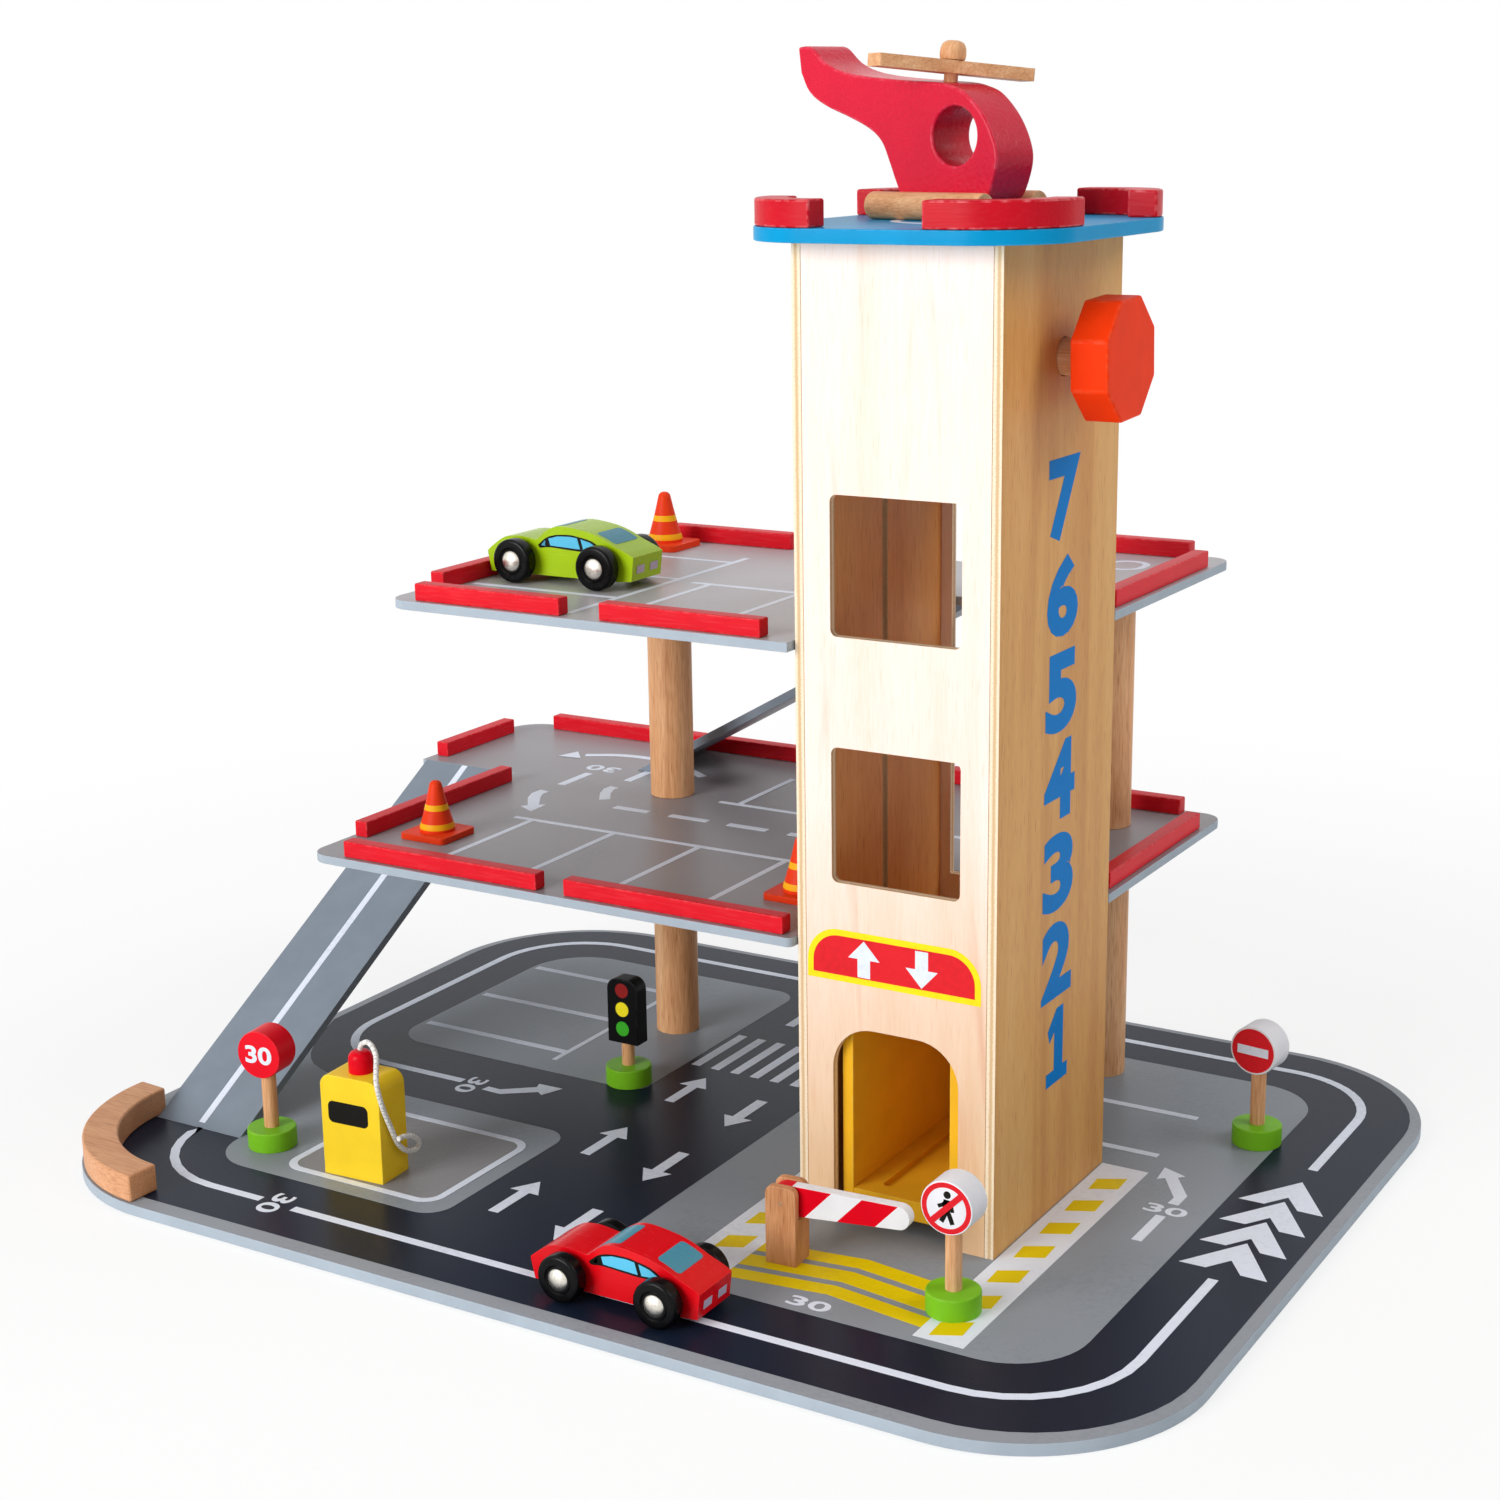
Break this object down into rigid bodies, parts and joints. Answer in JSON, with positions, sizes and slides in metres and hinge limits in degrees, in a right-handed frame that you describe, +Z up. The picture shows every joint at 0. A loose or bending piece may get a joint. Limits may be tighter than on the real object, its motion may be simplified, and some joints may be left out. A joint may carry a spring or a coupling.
{
  "type": "toy parking garage",
  "caption": "Wooden toy parking garage on a road board, with decks, ramps, a tower with a cranked lift, and loose cars, cones, signs, pump, barrier and helicopter.",
  "frame": {"origin": "centre of the board's underside", "axes": "+Z up, +X along the board's long side towards the tower, tower door facing -Y"},
  "size_m": [0.52, 0.4, 0.4698],
  "materials": {
    "birch": "satin",
    "beech": "satin",
    "board_print": "satin print",
    "deck_paint": "satin paint",
    "ramp_paint": "satin paint",
    "rail_red": "gloss paint",
    "roof_blue": "gloss paint",
    "cage_yellow": "satin paint",
    "knob_orange": "gloss paint",
    "helicopter_red": "gloss paint",
    "sign_paint": "gloss paint",
    "light_black": "satin paint",
    "pump_yellow": "gloss paint",
    "cap_red": "gloss paint",
    "cord_white": "matte",
    "barrier_paint": "gloss paint",
    "cone_orange": "satin paint",
    "car_red": "gloss paint",
    "car_green": "gloss paint",
    "tyre_black": "satin"
  },
  "bodies": {
    "garage": {"base_board": "board_print", "wheel_stop": "beech", "lower_ramp": "ramp_paint", "upper_ramp": "ramp_paint", "first_deck": "deck_paint", "top_deck": "deck_paint", "column_left_lower": "beech", "column_left_upper": "beech", "column_right_lower": "beech", "column_right_upper": "beech", "first_rail_front_left": "rail_red", "first_rail_front_right": "rail_red", "first_rail_left": "rail_red", "first_rail_ear": "rail_red", "first_rail_back_left": "rail_red", "first_rail_back_right": "rail_red", "first_rail_right": "rail_red", "top_rail_front_left": "rail_red", "top_rail_front_right": "rail_red", "top_rail_left": "rail_red", "top_rail_back_left": "rail_red", "top_rail_back_right": "rail_red", "top_rail_right": "rail_red", "tower_front": "birch", "tower_back": "birch", "tower_left": "birch", "tower_right": "birch", "roof_board": "roof_blue", "roof_arc_front_left": "rail_red", "roof_arc_front_right": "rail_red", "roof_arc_back_left": "rail_red", "roof_arc_back_right": "rail_red", "lift_rope": "cord_white"},
    "lift": {"lift_cage": "cage_yellow"},
    "crank": {"crank_axle": "beech", "crank_knob": "knob_orange"},
    "helicopter": {"helicopter_body": "helicopter_red", "rotor_pin": "beech", "skid_front": "beech", "skid_rear": "beech"},
    "rotor_blade": {"rotor": "beech"},
    "barrier": {"barrier_post": "beech", "barrier_pin": "birch"},
    "arm": {"barrier_arm": "barrier_paint"},
    "pump": {"pump_body": "pump_yellow", "pump_cap": "cap_red", "pump_hose": "cord_white"},
    "red_disc_sign": {"sign_red": "sign_paint"},
    "no_entry_sign": {"sign_no_entry": "sign_paint"},
    "walker_sign": {"sign_walker": "sign_paint"},
    "light": {"traffic_light": "light_black"},
    "far_cone": {"cone_first_left": "cone_orange"},
    "near_cone": {"cone_first_right": "cone_orange"},
    "high_cone": {"cone_top": "cone_orange"},
    "red_car": {"car_red_body": "car_red"},
    "red_front_wheels": {"car_red_front_wheels": "tyre_black"},
    "red_rear_wheels": {"car_red_rear_wheels": "tyre_black"},
    "green_car": {"car_green_body": "car_green"},
    "green_front_wheels": {"car_green_front_wheels": "tyre_black"},
    "green_rear_wheels": {"car_green_rear_wheels": "tyre_black"}
  },
  "joints": [
    {"name": "lift_travel", "type": "slide", "parent": "garage", "child": "lift", "axis": [0, 0, 1], "range_m": [-0.0057, 0.2263], "deforming": ["lift_rope"]},
    {"name": "crank_turn", "type": "hinge", "parent": "garage", "child": "crank", "pos_m": [0.10665, -0.01695, 0.3535], "axis": [1, 0, 0], "range_deg": [-45, 1660]},
    {"name": "helicopter_lift_off", "type": "slide", "parent": "garage", "child": "helicopter", "axis": [0, 0, 1], "range_m": [0, 0.03]},
    {"name": "rotor_spin", "type": "hinge", "parent": "helicopter", "child": "rotor_blade", "pos_m": [0.09589, -0.00455, 0.4573], "axis": [0.0577, 0.0766, 0.9954], "continuous": true},
    {"name": "barrier_lift_off", "type": "slide", "parent": "garage", "child": "barrier", "axis": [0, 0, 1], "range_m": [0, 0.03]},
    {"name": "barrier_swing", "type": "hinge", "parent": "barrier", "child": "arm", "pos_m": [0.07899, -0.1092, 0.0313], "axis": [0.0698, -0.9976, 0], "range_deg": [0, 85]},
    {"name": "pump_lift_off", "type": "slide", "parent": "garage", "child": "pump", "axis": [0, 0, 1], "range_m": [0, 0.03]},
    {"name": "red_sign_lift_off", "type": "slide", "parent": "garage", "child": "red_disc_sign", "axis": [0, 0, 1], "range_m": [0, 0.03]},
    {"name": "no_entry_lift_off", "type": "slide", "parent": "garage", "child": "no_entry_sign", "axis": [0, 0, 1], "range_m": [0, 0.03]},
    {"name": "walker_lift_off", "type": "slide", "parent": "garage", "child": "walker_sign", "axis": [0, 0, 1], "range_m": [0, 0.03]},
    {"name": "light_lift_off", "type": "slide", "parent": "garage", "child": "light", "axis": [0, 0, 1], "range_m": [0, 0.03]},
    {"name": "far_cone_lift_off", "type": "slide", "parent": "garage", "child": "far_cone", "axis": [0, 0, 1], "range_m": [0, 0.03]},
    {"name": "near_cone_lift_off", "type": "slide", "parent": "garage", "child": "near_cone", "axis": [0, 0, 1], "range_m": [0, 0.03]},
    {"name": "high_cone_lift_off", "type": "slide", "parent": "garage", "child": "high_cone", "axis": [0, 0, 1], "range_m": [0, 0.03]},
    {"name": "red_car_roll", "type": "slide", "parent": "garage", "child": "red_car", "axis": [1, 0, 0], "range_m": [-0.15, 0.13]},
    {"name": "red_front_spin", "type": "hinge", "parent": "red_car", "child": "red_front_wheels", "pos_m": [0.022, -0.16552, 0.0149], "axis": [0, 1, 0], "range_deg": [-995, 863]},
    {"name": "red_rear_spin", "type": "hinge", "parent": "red_car", "child": "red_rear_wheels", "pos_m": [0.06556, -0.16552, 0.0149], "axis": [0, 1, 0], "range_deg": [-995, 863]},
    {"name": "green_car_roll", "type": "slide", "parent": "garage", "child": "green_car", "axis": [1, 0, 0], "range_m": [0, 0.1]},
    {"name": "green_front_spin", "type": "hinge", "parent": "green_car", "child": "green_front_wheels", "pos_m": [-0.10727, -0.00401, 0.2559], "axis": [0, 1, 0], "range_deg": [-10, 667]},
    {"name": "green_rear_spin", "type": "hinge", "parent": "green_car", "child": "green_rear_wheels", "pos_m": [-0.06371, -0.00401, 0.2559], "axis": [0, 1, 0], "range_deg": [-10, 667]}
  ],
  "couplings": [
    {"joint": "crank_turn", "follows": "lift_travel", "rad_per_m": 123.46},
    {"joint": "red_front_spin", "follows": "red_car_roll", "rad_per_m": 104.17},
    {"joint": "red_rear_spin", "follows": "red_car_roll", "rad_per_m": 104.17},
    {"joint": "green_front_spin", "follows": "green_car_roll", "rad_per_m": 104.17},
    {"joint": "green_rear_spin", "follows": "green_car_roll", "rad_per_m": 104.17}
  ]
}
